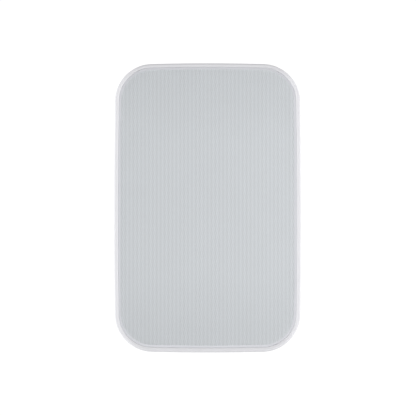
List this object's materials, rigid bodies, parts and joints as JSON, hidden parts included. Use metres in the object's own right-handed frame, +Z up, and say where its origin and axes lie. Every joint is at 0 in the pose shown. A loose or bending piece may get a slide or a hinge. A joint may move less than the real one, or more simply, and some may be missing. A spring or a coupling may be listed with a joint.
{
  "type": "garden speaker",
  "caption": "Weatherproof two-way garden speaker: a white rounded cabinet with a perforated grille, swivelling on a folded steel wall bracket.",
  "frame": {"origin": "centre of the bracket's four wall screw holes, on the wall plane", "axes": "+Z up, +Y into the wall, grille facing -Y, +X to the right seen from the front"},
  "size_m": [0.197, 0.215, 0.305],
  "materials": {
    "cabinet_white": "fine moulded white",
    "grille_white": "powder-coated cool white",
    "bracket_white": "powder-coated white",
    "knob_grey": "moulded pale grey",
    "scrim_cloth": "thin dark cloth",
    "baffle_black": "textured black",
    "seal_rubber": "soft black rubber",
    "steel": "stainless",
    "zinc": "zinc plated",
    "frame_black": "black powder coat",
    "cone_black": "ribbed moulded cone",
    "surround_rubber": "smooth black rubber",
    "spider_cloth": "resin-dipped cloth",
    "former_aluminium": "thin rolled sheet",
    "copper": "enamelled copper wire",
    "ferrite": "ground ferrite",
    "dome_silk": "doped silk",
    "board": "solder-masked board",
    "bobbin": "moulded black",
    "capacitor": "yellow film wrap",
    "resistor": "white cement block",
    "brass": "machined brass",
    "post_gold": "gold plated",
    "cap_red": "moulded red",
    "cap_black": "moulded black",
    "lead_sleeve": "insulated lead",
    "cup_grey": "moulded pale grey"
  },
  "bodies": {
    "bracket": {"wall_bracket": "bracket_white"},
    "cabinet": {"rear_cabinet": "cabinet_white", "front_baffle": "baffle_black", "tweeter_horn": "baffle_black", "baffle_seal": "seal_rubber", "woofer_seal": "seal_rubber", "tweeter_seal": "seal_rubber", "terminal_seal": "seal_rubber", "top_washer": "seal_rubber", "bottom_washer": "seal_rubber", "baffle_screws": "steel", "woofer_screws": "steel", "tweeter_screws": "steel", "board_screws": "steel", "terminal_screws": "steel", "woofer_top_plate": "zinc", "woofer_yoke": "zinc", "tweeter_top_plate": "zinc", "tweeter_yoke": "zinc", "woofer_basket": "frame_black", "woofer_surround": "surround_rubber", "woofer_spider": "spider_cloth", "tweeter_coil": "copper", "bass_coil": "copper", "treble_coil": "copper", "woofer_magnet": "ferrite", "tweeter_magnet": "ferrite", "tweeter_dome": "dome_silk", "crossover_board": "board", "bass_coil_bobbin": "bobbin", "woofer_tag": "bobbin", "tweeter_tag": "bobbin", "crossover_capacitors": "capacitor", "crossover_resistor": "resistor", "top_insert": "brass", "bottom_insert": "brass", "post_nuts": "brass", "red_post": "post_gold", "black_post": "post_gold", "input_leads": "lead_sleeve", "woofer_leads": "lead_sleeve", "tweeter_leads": "lead_sleeve", "terminal_cup": "cup_grey"},
    "cone": {"woofer_cone": "cone_black", "woofer_dust_cap": "cone_black", "woofer_former": "former_aluminium", "woofer_coil": "copper"},
    "grille": {"grille": "grille_white", "grille_scrim": "scrim_cloth"},
    "top_knob": {"top_knob": "knob_grey", "top_stud": "steel"},
    "bottom_knob": {"bottom_knob": "knob_grey", "bottom_stud": "steel"},
    "red_cap": {"red_cap": "cap_red"},
    "black_cap": {"black_cap": "cap_black"}
  },
  "joints": [
    {"name": "swivel", "type": "hinge", "parent": "bracket", "child": "cabinet", "pos_m": [0, -0.11, 0], "axis": [0, 0, 1], "range_deg": [-60, 60]},
    {"name": "cone_travel", "type": "slide", "parent": "cabinet", "child": "cone", "axis": [0, -1, 0], "range_m": [-0.005, 0.005], "stiffness_N_per_m": 1000, "deforming": ["woofer_surround", "woofer_spider"]},
    {"name": "grille_pull", "type": "slide", "parent": "cabinet", "child": "grille", "axis": [0, -1, 0], "range_m": [0, 0.06]},
    {"name": "top_knob_turn", "type": "hinge", "parent": "cabinet", "child": "top_knob", "pos_m": [0, -0.11, 0.1436], "axis": [0, 0, 1], "range_deg": [0, 360]},
    {"name": "bottom_knob_turn", "type": "hinge", "parent": "cabinet", "child": "bottom_knob", "pos_m": [0, -0.11, -0.1436], "axis": [0, 0, -1], "range_deg": [0, 360]},
    {"name": "red_cap_turn", "type": "hinge", "parent": "cabinet", "child": "red_cap", "pos_m": [-0.0095, -0.041, -0.04], "axis": [0, 1, 0], "range_deg": [0, 360]},
    {"name": "black_cap_turn", "type": "hinge", "parent": "cabinet", "child": "black_cap", "pos_m": [0.0095, -0.041, -0.04], "axis": [0, 1, 0], "range_deg": [0, 360]}
  ]
}
